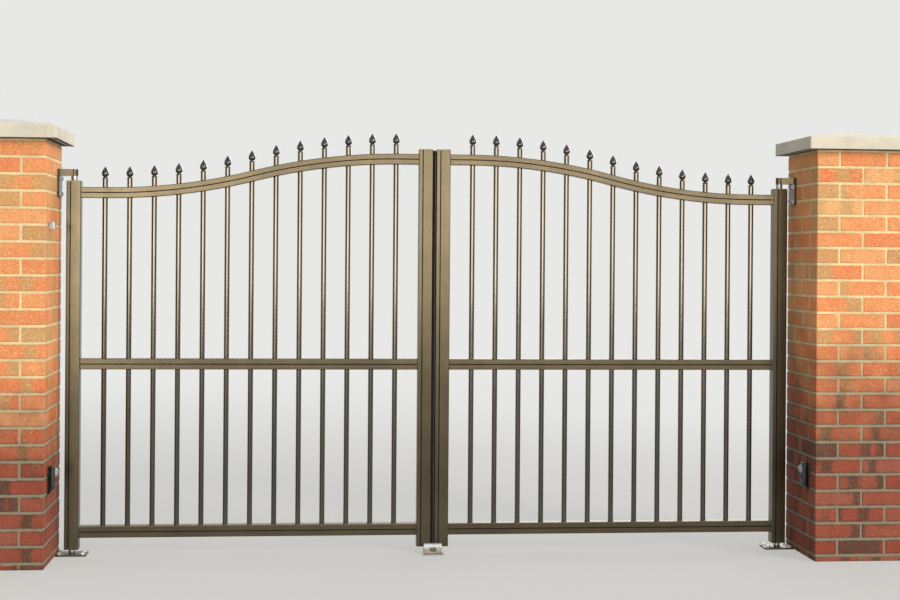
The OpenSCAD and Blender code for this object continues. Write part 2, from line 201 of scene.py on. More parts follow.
def coordinates(node):
    """All vertices of a CAD node, as an array."""
    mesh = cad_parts[node].data
    flat = np.empty(len(mesh.vertices) * 3)
    mesh.vertices.foreach_get("co", flat)
    return flat.reshape(-1, 3)


def stems(node):
    """The radius of a leaf's bars or finials, and the place, foot and top of each."""
    row, points = box(node), coordinates(node)
    r = row.size[1] / 2
    found = []
    for x in np.linspace(row.low[0] + r, row.high[0] - r, BAR_COUNT):
        heights = points[np.abs(points[:, 0] - x) < r * 1.01, 2]
        found.append((x, row.centre[1], heights.min(), heights.max()))
    return r, found


def round_about(steps):
    """Angles evenly round a circle, from 0, without its end."""
    return np.linspace(0, TAU, steps, endpoint=False)


def outline(corner, across, along):
    """A round-cornered rectangle in factors, counter-clockwise.

    Each point is (sx, sy) times the centre of the corner's arc plus (cos, sin) times its
    radius. corner, across and along are the steps in a corner, on the sides along the first
    axis and on the sides along the second.
    """
    signs = np.array([[1, 1], [-1, 1], [-1, -1], [1, -1], [1, 1]])
    rows = []
    for q in range(4):
        arc = np.radians(90 * q + np.linspace(0, 90, corner + 1))
        rows.append(np.column_stack([np.tile(signs[q], (corner + 1, 1)), np.cos(arc), np.sin(arc)]))
        steps = across if q % 2 == 0 else along
        t = (np.arange(1, steps) / steps)[:, None]
        side = signs[q] + (signs[q + 1] - signs[q]) * t
        rows.append(np.column_stack([side, np.tile([np.cos(arc[-1]), np.sin(arc[-1])], (steps - 1, 1))]))
    return np.concatenate(rows)


def slab(factors, width, depth, radius, insets, heights):
    """Rings of a slab: its outline, drawn in by each inset, at each height.

    The outline is width by depth with corners of radius. Drawn in by d, the corner's radius is
    radius - d and its centre stays, until the radius is used up. Sizes may be arrays, one for
    each copy, and insets and heights may differ from copy to copy and from point to point.
    """
    w, h = (np.reshape(v, (-1, 1, 1)) for v in (width, depth))
    d, z = (np.asarray(v, float) for v in (insets, heights))
    d, z = (v.reshape(1, -1, 1) if v.ndim == 1 else v for v in (d, z))
    sx, sy, c, s = factors.T
    corner = np.maximum(radius - d, 1e-5)
    x = sx * (w / 2 - d - corner) + c * corner
    y = sy * (h / 2 - d - corner) + s * corner
    return np.stack(np.broadcast_arrays(x, y, z), -1)


def turned(radii, heights, points=40, flats=0):
    """Rings of a turned piece: a profile of radii and heights carried round the axis.

    With flats, the radius at each angle is the distance to a regular polygon's edge, so that
    the profile's radius is half the width across the flats.
    """
    angle = round_about(points)
    reach = np.ones(points)
    if flats:
        sector = TAU / flats
        reach = 1 / np.cos(np.mod(angle, sector) - sector / 2)
    r = np.asarray(radii, float)[:, None] * reach
    z = np.broadcast_to(np.asarray(heights, float)[:, None], r.shape)
    return np.stack([r * np.cos(angle), r * np.sin(angle), z], -1)[None]


def placed(points, origin, axis=(0, 0, 1)):
    """Turns points whose height runs along Z so that it runs along axis, and moves them."""
    w = np.asarray(axis, float)
    v = np.array([0, 0, 1.0]) if abs(w[2]) < 0.5 else np.array([0, w[2], 0])
    basis = np.stack([np.cross(v, w), v, w])
    return points @ basis + np.asarray(origin, float)


def surface(points, closed=False, start=0):
    """Vertices and faces of copies of one surface: points[copy, ring, place in ring].

    Neighbouring rings are joined by quads. A closed surface joins its last ring to its first,
    and an open one ends in a fan about the middle of its first and of its last ring. The
    faces count their vertices from start.
    """
    copies, rings, count = points.shape[:3]
    i, j = np.meshgrid(np.arange(rings if closed else rings - 1), np.arange(count), indexing="ij")
    i, j = i.ravel(), j.ravel()
    up, on = (i + 1) % rings, (j + 1) % count
    quads = np.stack([i * count + j, i * count + on, up * count + on, up * count + j], -1)
    size = rings * count
    if closed:
        shift = (np.arange(copies) * size)[:, None, None] + start
        return points.reshape(-1, 3), (quads + shift).reshape(-1, 4).tolist()
    ends = points[:, [0, -1]].mean(2)
    vertices = np.concatenate([points.reshape(copies, size, 3), ends], 1).reshape(-1, 3)
    j = np.arange(count)
    on, last = (j + 1) % count, size - count
    fans = np.concatenate([
        np.stack([np.full(count, size), on, j], -1),
        np.stack([np.full(count, size + 1), last + j, last + on], -1),
    ])
    shift = (np.arange(copies) * (size + 2))[:, None, None] + start
    faces = (quads + shift).reshape(-1, 4).tolist() + (fans + shift).reshape(-1, 3).tolist()
    return vertices, faces


def piece(name, parts, material, body, closed=False, values=None, smooth=True):
    """One object from arrays of rings. It rides on body and takes the given material.

    values holds vectors for the vertices by attribute name, in the order that surface gives.
    """
    vertices, faces, start = [], [], 0
    for points in parts:
        v, f = surface(points, closed, start)
        vertices.append(v)
        faces += f
        start += len(v)
    mesh = bpy.data.meshes.new(name)
    mesh.from_pydata(np.concatenate(vertices).tolist(), [], faces)
    for key, value in (values or {}).items():
        mesh.attributes.new(key, "FLOAT_VECTOR", "POINT").data.foreach_set("vector", value.ravel())
    mesh.polygons.foreach_set("use_smooth", np.full(len(mesh.polygons), smooth))
    mesh.materials.append(material)
    mesh.update()
    made = bpy.data.objects.new(name, mesh)
    bpy.context.scene.collection.objects.link(made)
    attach(made, body)
    return made


def finish_nodes(material, *names):
    """Gives CAD nodes their material."""
    for name in names:
        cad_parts[name].material_slots[0].material = material


class Shader:
    """Makes the nodes of a material, a node group or the sky in short calls."""

    def __init__(self, tree):
        self.tree = tree

    def join(self, socket, value):
        """Links an output to a socket, or sets the socket's own value."""
        if isinstance(value, bpy.types.NodeSocket):
            self.tree.links.new(value, socket)
        elif socket.type == "RGBA":
            socket.default_value = (*value, 1)
        else:
            socket.default_value = value

    def add(self, kind, values=None, **settings):
        """One node. values sets its inputs, or links them where a value is an output."""
        made = self.tree.nodes.new("ShaderNode" + kind)
        for key, value in settings.items():
            setattr(made, key, value)
        for key, value in (values or {}).items():
            self.join(made.inputs[key], value)
        return made

    def calc(self, operation, *values, clamp=False):
        """The result of a Math node."""
        made = self.add("Math", dict(enumerate(values)), operation=operation, use_clamp=clamp)
        return made.outputs[0]

    def times(self, first, second):
        return self.calc("MULTIPLY", first, second)

    def line(self, value, factor, offset, clamp=False):
        """value times factor plus offset."""
        return self.calc("MULTIPLY_ADD", value, factor, offset, clamp=clamp)

    def blend(self, factor, first, second, kind="MIX"):
        """Mixes two colours by a factor."""
        mix = self.add("Mix", {0: factor, 6: first, 7: second}, data_type="RGBA", blend_type=kind)
        return mix.outputs[2]

    def stain(self, base, tone, mask, amount):
        """Lays a tone over a colour, as much as mask times amount."""
        return self.blend(self.times(mask, amount), base, tone)

    def ramp(self, value, low, high, start=0.0, end=1.0):
        """Maps a value smoothly from low..high to start..end."""
        values = {"Value": value, "From Min": low, "From Max": high, "To Min": start, "To Max": end}
        return self.add("MapRange", values, interpolation_type="SMOOTHSTEP").outputs[0]

    def noise(self, vector, scale, detail=4.0, rough=0.55):
        values = {"Vector": vector, "Scale": scale, "Detail": detail, "Roughness": rough}
        return self.add("TexNoise", values).outputs["Fac"]

    def split(self, vector):
        """The three parts of a vector, by number or by axis."""
        return self.add("SeparateXYZ", {0: vector}).outputs

    def scaled(self, vector, factors):
        """Coordinates for a pattern that is drawn out along the axes with small factors."""
        return self.add("Mapping", {"Vector": vector, "Scale": factors}).outputs[0]

    def facing(self):
        """The parts of the surface's normal."""
        return self.split(self.add("NewGeometry").outputs["Normal"])

    def seen_only(self):
        """1 for what the camera sees, directly or in gloss or glass, and 0 for the light itself."""
        path = self.add("LightPath").outputs
        direct = self.calc("MAXIMUM", path["Is Camera Ray"], path["Is Transmission Ray"])
        return self.calc("MAXIMUM", direct, path["Is Glossy Ray"])

    def effect(self, name, **values):
        """The output of a shared node group with its inputs set by name."""
        node = self.tree.nodes.new("ShaderNodeGroup")
        node.node_tree = effect_group(name)
        for key, value in values.items():
            self.join(node.inputs[key], value)
        return node.outputs[0]

    def mottle(self, vector, scale, low, high):
        return self.effect("Mottle", Vector=vector, Scale=scale, Low=low, High=high)

    def dust(self, vector, amount):
        return self.effect("Settled dust", Vector=vector, Amount=amount)

    def splash(self, vector, height, amount):
        return self.effect("Splashed dirt", Vector=vector, Height=height, Amount=amount)

    def grain(self, vector, scale, strength, depth):
        return self.effect("Grain", Vector=vector, Scale=scale, Strength=strength, Depth=depth)


def mottle(t, source):
    """Cloudy patches: noise cut between a low and a high level."""
    return t.ramp(t.noise(source["Vector"], source["Scale"], 6.0, 0.6), source["Low"], source["High"])


def settled_dust(t, source):
    """Dust that settles on faces that look up, broken by noise."""
    flat = t.ramp(t.facing()["Z"], 0.25, 0.95)
    cloud = t.ramp(t.noise(source["Vector"], 26.0, 6.0, 0.65), 0.3, 0.7, 0.45, 1.0)
    return t.calc("MULTIPLY", t.times(flat, cloud), source["Amount"], clamp=True)


def splashed_dirt(t, source):
    """Dirt splashed up from the ground: full at the foot, gone at a ragged height."""
    ragged = t.line(t.noise(source["Vector"], 7.0, 5.0), -0.5, 0.25)
    level = t.line(ragged, source["Height"], t.split(source["Vector"])["Z"])
    full = t.times(source["Height"], 0.4)
    return t.ramp(level, full, source["Height"], source["Amount"], 0.0)


def grain(t, source):
    """Fine relief: two sizes of noise as the height of a bump."""
    fine = t.noise(source["Vector"], source["Scale"], 3.0, 0.6)
    coarse = t.noise(source["Vector"], t.times(source["Scale"], 0.22), 2.0)
    height = t.line(coarse, 0.8, fine)
    values = {"Height": height, "Strength": source["Strength"], "Distance": source["Depth"]}
    return t.add("Bump", values).outputs[0]


EFFECTS = {
    "Mottle": (mottle, {"Scale": 5.0, "Low": 0.4, "High": 0.6}, ("Mask", "Float")),
    "Settled dust": (settled_dust, {"Amount": 0.5}, ("Mask", "Float")),
    "Splashed dirt": (splashed_dirt, {"Height": 0.5, "Amount": 0.5}, ("Mask", "Float")),
    "Grain": (grain, {"Scale": 200.0, "Strength": 0.5, "Depth": 0.001}, ("Normal", "Vector")),
}


def effect_group(name):
    """The node group of an effect, built once, with a Vector input before its numbers."""
    tree = bpy.data.node_groups.get(name)
    if tree:
        return tree
    build, defaults, (output, kind) = EFFECTS[name]
    tree = bpy.data.node_groups.new(name, "ShaderNodeTree")
    tree.interface.new_socket(name="Vector", in_out="INPUT", socket_type="NodeSocketVector")
    for key, default in defaults.items():
        socket = tree.interface.new_socket(name=key, in_out="INPUT", socket_type="NodeSocketFloat")
        socket.default_value = default
    tree.interface.new_socket(name=output, in_out="OUTPUT", socket_type="NodeSocket" + kind)
    source = tree.nodes.new("NodeGroupInput").outputs
    target = tree.nodes.new("NodeGroupOutput").inputs
    tree.links.new(build(Shader(tree), source), target[0])
    return tree


class Material(Shader):
    """A new material: here is its object coordinates, shader its Principled node."""

    def __init__(self, name, constants):
        self.made = bpy.data.materials.new(name)
        self.made.use_nodes = True
        super().__init__(self.made.node_tree)
        self.tree.nodes.clear()
        self.shader = self.add("BsdfPrincipled", constants)
        self.output = self.tree.nodes.new("ShaderNodeOutputMaterial").inputs[0]
        self.join(self.output, self.shader.outputs[0])
        self.here = self.add("TexCoord").outputs["Object"]

    def finished(self, base, rough=None, relief=None):
        """The material, once its colour, roughness and normal are joined to the shader."""
        for key, value in (("Base Color", base), ("Roughness", rough), ("Normal", relief)):
            if value is not None:
                self.join(self.shader.inputs[key], value)
        return self.made


def brick_material(s):
    """Flashed wire-cut bricks: one tone each, kiln marks across many, gritty and pitted.

    brick_place holds the place along and up the brick and the nearness of an arris.
    brick_mark and brick_second_mark each hold the centre and half width of a kiln mark, and
    then the brick's tone and an offset for its patterns. A mark is wider towards the top and
    bottom of the brick, so that the red between two marks is oval.
    """
    m = Material("brick", {"Specular IOR Level": 0.25})
    names = ("brick_place", "brick_mark", "brick_second_mark")
    vectors = [m.add("Attribute", attribute_name=name).outputs["Vector"] for name in names]
    spot, first, second = (m.split(vector) for vector in vectors)
    moved = m.add("CombineXYZ", {0: second[2], 1: second[2]}).outputs[0]
    place = m.add("VectorMath", {0: m.here, 1: moved}, operation="ADD").outputs[0]
    # Lower bricks: partly damp, partly painted shade of a cast shadow whose edge rises towards the right
    # pier.
    low_damp_and_shade = m.splash(m.here, m.line(m.split(m.here)["X"], 0.07, 0.93), 1.0)

    tone = m.line(m.noise(place, 16.0, 5.0, 0.6), 0.7, first[2])
    palette = m.add("ValToRGB", {"Fac": m.calc("SUBTRACT", tone, 0.35)})
    stops = palette.color_ramp.elements
    stops[0].color, stops[1].color = (*s.red, 1), (*s.salmon, 1)
    stops.new(0.5).color = (*s.orange, 1)
    # Painted shade, partly damp: the lower bricks are tinted darker and redder.
    base = m.blend(low_damp_and_shade, palette.outputs["Color"], s.damp_and_shaded, "MULTIPLY")

    height = m.calc("ABSOLUTE", spot[1])
    bulge = m.times(m.calc("POWER", height, 4.0), 0.012)
    ragged = m.line(m.noise(place, 55.0, 5.0, 0.7), 0.03, spot[0])
    soft = m.line(low_damp_and_shade, -0.016, 0.028)
    marks = []
    for mark in (first, second):
        away = m.calc("ABSOLUTE", m.calc("SUBTRACT", ragged, mark[0]))
        beyond = m.calc("SUBTRACT", away, m.calc("ADD", mark[1], bulge))
        marks.append(m.ramp(beyond, -0.010, soft, 0.9, 0.0))
    # Painted shade: near the ground the kiln marks take their dark shaded copy.
    flashed = m.blend(low_damp_and_shade, s.flash, s.flash_low_shaded)
    patchy = m.ramp(m.noise(place, 200.0, 4.0, 0.7), 0.35, 0.62, 0.6, 1.0)
    base = m.stain(base, flashed, m.calc("MAXIMUM", *marks), patchy)
    base = m.stain(base, flashed, m.mottle(place, 15.0, 0.46, 0.72), m.line(height, 0.4, 0.25))
    # Painted shade along the top and bottom arrises, strong near the ground and faint higher up, partly
    # soot.
    base = m.stain(base, s.flash_low_shaded, m.ramp(height, 0.7, 1.0), m.line(low_damp_and_shade, 0.6, 0.15))

    dragged = m.noise(m.scaled(place, (0.45, 0.45, 1.0)), 190.0, 4.0, 0.7)
    shade = m.ramp(dragged, 0.3, 0.7, 0.84, 1.13)
    base = m.add("VectorMath", {0: base, "Scale": shade}, operation="SCALE").outputs[0]
    grit = m.mottle(place, 330.0, 0.57, 0.68)
    # Painted shade: near the ground the grit is darker and the pale speckles are dimmed.
    base = m.stain(base, [c * 0.35 for c in s.red], grit, m.line(low_damp_and_shade, 0.45, 0.3))
    sand = m.mottle(place, 170.0, 0.55, 0.66)
    sandy = m.blend(low_damp_and_shade, tint(255, 230, 176), tint(172, 134, 108))
    base = m.stain(base, sandy, sand, m.line(low_damp_and_shade, -0.2, 0.68))
    smear = m.mottle(place, 35.0, 0.45, 0.7)
    base = m.stain(base, s.mortar, spot[2], m.line(smear, 0.5, 0.12))
    return m.finished(base, m.line(m.noise(place, 120.0), 0.2, 0.74), m.grain(place, 300.0, 0.4, 0.0008))


def mortar_material(s):
    """Cream lime mortar, sandy, greyer and darker towards the ground, partly dirt and partly painted
    shade.
    """
    m = Material("mortar", {"Specular IOR Level": 0.2})
    base = m.stain(s.mortar, tint(196, 176, 140), m.mottle(m.here, 9.0, 0.35, 0.7), 0.5)
    # Painted shade, partly dirt: the mortar turns to its darker low colour near the ground, the edge
    # rising towards the right pier.
    low = m.splash(m.here, m.line(m.split(m.here)["X"], 0.07, 1.0), 0.95)
    base = m.blend(low, base, s.mortar_low_shaded)
    sand = m.mottle(m.here, 500.0, 0.55, 0.65)
    base = m.stain(base, tint(120, 104, 82), sand, 0.4)
    return m.finished(base, m.line(sand, 0.1, 0.82), m.grain(m.here, 420.0, 0.8, 0.0015))


def stone_material(s):
    """Cast stone: pale, fine pits and grains, paler on top as painted light from above, streaked, dark
    underneath as painted shade and soot.
    """
    m = Material("cap_stone", {"Specular IOR Level": 0.3})
    cloud = m.mottle(m.here, 6.0, 0.35, 0.75)
    base = m.stain(s.stone, s.weather, cloud, 0.35)
    base = m.stain(base, tint(140, 134, 118), m.mottle(m.here, 520.0, 0.56, 0.66), 0.35)
    base = m.stain(base, tint(246, 242, 232), m.mottle(m.here, 380.0, 0.6, 0.7), 0.5)
    # Painted light: faces that look up are laid over with near white, partly bleaching.
    base = m.blend(m.dust(m.here, 0.75), base, tint(250, 248, 240))
    streak = m.mottle(m.scaled(m.here, (1, 1, 0.12)), 30.0, 0.56, 0.78)
    base = m.stain(base, tint(150, 148, 138), streak, 0.35)
    # Painted shade: undersides are darkened, partly as soot.
    base = m.blend(m.ramp(m.facing()["Z"], -0.9, -0.3, 0.95, 0.0), base, s.soot_and_shade)
    return m.finished(base, m.line(cloud, 0.1, 0.76), m.grain(m.here, 480.0, 0.5, 0.0009))


def paint_material(
    name, s, dust_and_sheen=0.3, rough=0.0, stretch=(1, 1, 1), main=None, section=None, coat=0.0, waves=0.06
):
    """Satin paint with metal flake: faint waves, dust on top faces that is partly a painted sheen,
    painted shade in the grooves, dirt at the foot.

    The waves are long along the axis whose stretch is small, as on drawn tube. section holds
    the middle and half depth of a grooved tube along Y: a face that looks along Y and lies
    deeper than the tube's own face is a groove's floor.
    """
    m = Material(name, {"Metallic": s.metallic, "Coat Weight": coat, "Coat Roughness": 0.1})
    drawn = m.scaled(m.here, stretch)
    base = m.blend(m.mottle(m.here, 4.0, 0.3, 0.7), main or s.bronze, s.shade)
    splashed = m.times(m.splash(m.here, 0.3, 0.1), m.mottle(m.here, 420.0, 0.3, 0.8))
    # Dust on top faces; where it is strong, as on the rails, it is also a painted sheen of light from
    # above.
    dirt = m.calc("MAXIMUM", m.dust(m.here, dust_and_sheen), splashed)
    base = m.blend(dirt, base, s.dust)
    worn = m.line(m.noise(drawn, 22.0, 2.0), 0.1, s.roughness + rough - 0.05)
    worn = m.line(dirt, 0.3, worn, clamp=True)
    if section:
        middle, half = section
        skin = 0.0015  # a groove's floor lies deeper than this behind the tube's face
        flat = m.calc("ABSOLUTE", m.split(m.add("TexCoord").outputs["Normal"])["Y"])
        away = m.calc("ABSOLUTE", m.calc("SUBTRACT", m.split(m.here)["Y"], middle))
        deep = m.calc("LESS_THAN", away, half - skin)
        floor = m.times(deep, m.calc("GREATER_THAN", flat, 0.9))
        # Painted shade: groove floors are darkened, partly as dirt.
        base = m.blend(floor, base, s.groove)
        worn = m.line(floor, 0.4, worn, clamp=True)
    return m.finished(base, worn, m.grain(drawn, 60.0, waves, 0.0004) if waves else None)


def zinc_material(name, s, dull=0.0, main=None, foot=0.0):
    """Galvanised steel: crystals of slightly different grey, dulled in patches.

    foot is the height to which dirt is trodden over it.
    """
    m = Material(name, {"Metallic": 1.0})
    cells = m.add("TexVoronoi", {"Vector": m.here, "Scale": 130.0})
    spangle = m.add("SeparateColor", {0: cells.outputs["Color"]}).outputs[0]
    base = m.stain(main or s.zinc, tint(128, 132, 136), spangle, 0.4)
    patch = m.mottle(m.here, 45.0, 0.5, 0.7)
    base = m.stain(base, tint(128, 120, 106), patch, 0.5)
    matt = m.line(spangle, 0.14, 0.32 + dull)
    if foot:
        grime = m.splash(m.here, foot, 0.85)
        base = m.blend(grime, base, tint(132, 124, 108))
        matt = m.line(grime, 0.35, matt)
    return m.finished(base, m.line(patch, 0.2, matt, clamp=True), m.grain(m.here, 300.0, 0.3, 0.0003))


def plastic_material(name, main, matt=0.0, shine=0.5):
    """Black moulded plastic or rubber, finely textured, greyed by dust."""
    m = Material(name, {"Specular IOR Level": shine})
    cloud = m.mottle(m.here, 40.0, 0.4, 0.75)
    base = m.stain(main, tint(90, 90, 88), cloud, 0.15)
    base = m.blend(m.dust(m.here, 0.5), base, tint(120, 116, 106))
    return m.finished(base, m.line(cloud, 0.2, 0.36 + matt), m.grain(m.here, 1300.0, 0.35, 0.0002))


def window_material(s):
    """Smoked plastic of a photocell's window: glossy, with a film of dust; its pale grey is a painted
    reflection.
    """
    m = Material("smoked_lens", {"Coat Weight": 1.0, "Coat Roughness": 0.04})
    film = m.mottle(m.here, 70.0, 0.35, 0.75)
    return m.finished(m.blend(film, s.window, [c * 0.72 for c in s.window]), m.line(film, 0.22, 0.1))


def floor_material(s):
    """Plain pale floor. It keeps the gate's shadow and passes into the backdrop far behind."""
    m = Material("floor", {"Specular IOR Level": 0.0, "Roughness": 0.9})
    cloud = m.mottle(m.here, 0.8, 0.3, 0.7)
    away = m.add("VectorMath", {0: m.here, 1: (GATE_MIDDLE, 0, 0)}, operation="DISTANCE").outputs["Value"]
    far = m.times(m.ramp(away, 2.5, 11.0, 0.5, 1.0), m.seen_only())
    glow = m.add("Emission", {"Color": s.backdrop, "Strength": 1.0}).outputs[0]
    both = m.add("MixShader", {0: far, 1: m.shader.outputs[0], 2: glow})
    m.join(m.output, both.outputs[0])
    return m.finished(m.blend(cloud, s.floor, [c * 0.985 for c in s.floor]))


def brick_layout(s, half, top, start):
    """Centres and sizes of all bricks of one pier, in its own frame, course by course.

    A course has four corner bricks and two middle ones. Turning every other course a quarter
    breaks the joints. Courses are counted down from the bed joint under the cap.
    """
    long, short, tall, joint = s.length, s.width, s.height, s.joint
    far, near = half - short / 2, (long + joint) / 2
    one = np.array([[a * far, b * near, short, long] for a in (1, -1) for b in (1, -1)])
    one = np.concatenate([one, [[0, far, long, short], [0, -far, long, short]]])
    turned_one = one[:, [1, 0, 3, 2]]
    courses = int(np.ceil((top - joint) / (tall + joint)))
    highs = top - joint - np.arange(courses) * (tall + joint)
    kinds = np.where(((np.arange(courses) + start) % 2)[:, None, None] == 0, one, turned_one)
    high = np.broadcast_to(highs[:, None, None], (courses, len(one), 1))
    low = np.maximum(high - tall, 0.0)
    return np.concatenate([kinds, low, high], -1).reshape(-1, 6)


def bricks(s, middle, layout, draw):
    """Rings and attributes of all bricks of a pier.

    A brick is a slab with small corners, drawn in at its top and bottom arrises by an uneven
    amount, with a slow wave over its faces.
    """
    count = len(layout)
    factors = outline(1, 1, 1)
    low, high = layout[:, 4][:, None, None], layout[:, 5][:, None, None]
    tall = high - low
    bend = np.minimum(s.arris, tall * 0.3)
    inset = np.array([1.0, 0.0, 0.0, 0.0, 1.0])[None, :, None]
    uneven = draw.uniform(0.55, 1.25, (count, inset.size, len(factors)))
    heights = np.concatenate([low, low + bend, (low + high) / 2, high - bend, high], 1)
    rings = slab(factors, layout[:, 2], layout[:, 3], s.arris, inset * bend * uneven, heights)
    ripple, pace_up, pace_along = 0.0002, 90, 40
    wave = draw.uniform(0, TAU, (count, 1, 1, 3))
    phase = rings[..., [2, 2]] * pace_up + rings[..., :2] * pace_along + wave[..., :2]
    rings[..., :2] += ripple * np.sin(phase)
    back = draw.uniform(0, s.wander, (count, 1, 1, 1)) + s.arris * 0.1
    centre = layout[:, None, None, :2]
    rings[..., :2] += centre - back * np.sign(np.round(centre, 2))
    rings += middle
    off = rings[..., :2] - middle[:2] - centre
    long_x = (layout[:, 2] > layout[:, 3])[:, None, None]
    along = np.where(long_x, off[..., 0], off[..., 1])
    up = 2 * (rings[..., 2] - low) / tall - 1

    kind = draw.random(count)
    end_at = np.sign(draw.uniform(-1, 1, count)) * s.length / 2
    inner_at = np.sign(draw.uniform(-1, 1, count)) * draw.uniform(0.1, 0.26, count) * s.length
    upper = np.clip((layout[:, 4] - 0.8) / 0.4, 0, 1)
    none = -0.1  # half width of a mark that never shows
    end_half = np.where(kind < 0.55, draw.uniform(0.008, 0.03, count) * (1 + 0.8 * upper), none)
    end_half = np.where(kind < 0.07, s.length, end_half)
    has_inner = (kind > 0.25) & (kind < 0.92 - 0.45 * upper)
    inner_half = np.where(has_inner, draw.uniform(0.016, 0.026, count), none)
    tone = np.clip(draw.normal(0.5, 0.2, count), 0.02, 0.98)
    offset = draw.uniform(0, 9, count)

    def attribute(*values):
        """A vector for each point of the rings and then for the middle of each end."""
        values = (v[:, None, None] if v.ndim == 1 else v for v in values)
        vectors = np.stack([np.broadcast_to(v, along.shape) for v in values], -1)
        return np.concatenate([vectors.reshape(count, -1, 3), vectors[:, [0, -1]].mean(2)], 1)

    values = {
        "brick_place": attribute(along, up, (inset > 0).astype(float)),
        "brick_mark": attribute(end_at, end_half, tone),
        "brick_second_mark": attribute(inner_at, inner_half, offset),
    }
    return rings, values


def mortar_core(s, middle, half, top, draw):
    """Rings of the mortar of a pier: one square shaft behind the bricks' faces, roughened.

    The rings lie at the edges and the middle of each bed joint and half way up the bricks.
    """
    factors = outline(2, 40, 40)
    corner, lowest, rough = 0.004, 0.004, 0.0006
    pitch = s.height + s.joint
    steps = np.array([0.0, 0.5 * s.joint, s.joint, s.joint + s.height / 2])
    levels = top - (np.arange(np.ceil(top / pitch))[:, None] * pitch + steps).ravel()
    levels = np.append(levels[levels > lowest], 0.0)[::-1]
    insets = s.recess + draw.uniform(-rough, rough, (1, len(levels), len(factors)))
    insets[:, [0, -1]] = s.recess
    return slab(factors, 2 * half, 2 * half, corner, insets, levels) + middle


class GATE_OT_brickwork(bpy.types.Operator):
    """Builds both piers from separate bricks and mortar"""

    bl_idname = "gate.brickwork"
    bl_label = "Brickwork"

    def execute(self, context):
        s = context.scene.gate_bricks
        brick, mortar = brick_material(s), mortar_material(s)
        for order, side in enumerate(SIDES):
            pier = box(side + "_pier")
            middle = np.array([*pier.centre[:2], 0])
            half, top = pier.size[0] / 2, pier.high[2]
            draw = np.random.default_rng(s.seed + order)
            layout = brick_layout(s, half, top, 1 - order)
            rings, values = bricks(s, middle, layout, draw)
            name = side + "_pier_bricks"
            laid = piece(name, [rings], brick, "piers", values=values, smooth=False)
            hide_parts(side + "_pier")
            core = mortar_core(s, middle, half, top, draw)
            piece(side + "_pier_mortar", [core], mortar, "piers")
        return {"FINISHED"}


def cap_rings(s, size, draw):
    """Rings of a cap, from the middle of its underside out to its edge and up to its peak.

    The underside has a drip groove, the upright edge has a quarter-round arris below and
    above, and the top rises evenly to the middle. Every point is a little off its place.
    """
    half, r = size[0] / 2, s.arris
    soft, blunt, clear = 0.001, 0.0015, 0.0001
    pitted, wavy = 0.00035, 0.0002
    a, b, depth = s.drip_in, s.drip_in + s.drip_width, s.drip_depth
    arc = np.radians(np.linspace(0, 90, 5))
    curl, lift = r * (1 - np.cos(arc)), r * (1 - np.sin(arc))
    edge = np.linspace(r, s.edge - r, 5)[1:-1]
    slope = np.linspace(0, 1, 12)[1:-1]
    insets = np.concatenate([
        [half - 0.02, half / 2, b + soft, b, b, b - soft, a + soft, a, a, a - soft],
        lift, [0, 0, 0], curl, r + slope * (half - r),
    ])
    heights = np.concatenate([
        [0, 0, 0, soft, depth - soft, depth, depth, depth - soft, soft, 0],
        curl, edge, s.edge - lift, s.edge + slope * (size[2] - s.edge - blunt) + clear,
    ])
    factors = outline(4, 44, 44)
    uneven = draw.uniform(0, pitted, (1, len(insets), len(factors)))
    rings = slab(factors, size[0], size[1], r * 1.2, insets[None, :, None] + uneven, heights)
    rings[..., 2] += draw.uniform(-wavy, wavy, rings.shape[:3]) * (rings[..., 2] > s.edge / 2)
    return rings


class GATE_OT_caps(bpy.types.Operator):
    """Builds the two stone caps with rounded arrises and a drip groove"""

    bl_idname = "gate.caps"
    bl_label = "Stone caps"

    def execute(self, context):
        s = context.scene.gate_caps
        stone = stone_material(s)
        for order, side in enumerate(SIDES):
            cap = box(side + "_cap")
            rings = cap_rings(s, cap.size, np.random.default_rng(40 + order))
            rings += [*cap.centre[:2], cap.low[2]]
            made = piece(side + "_cap_stone", [rings], stone, "piers")
            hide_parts(side + "_cap")
        return {"FINISHED"}


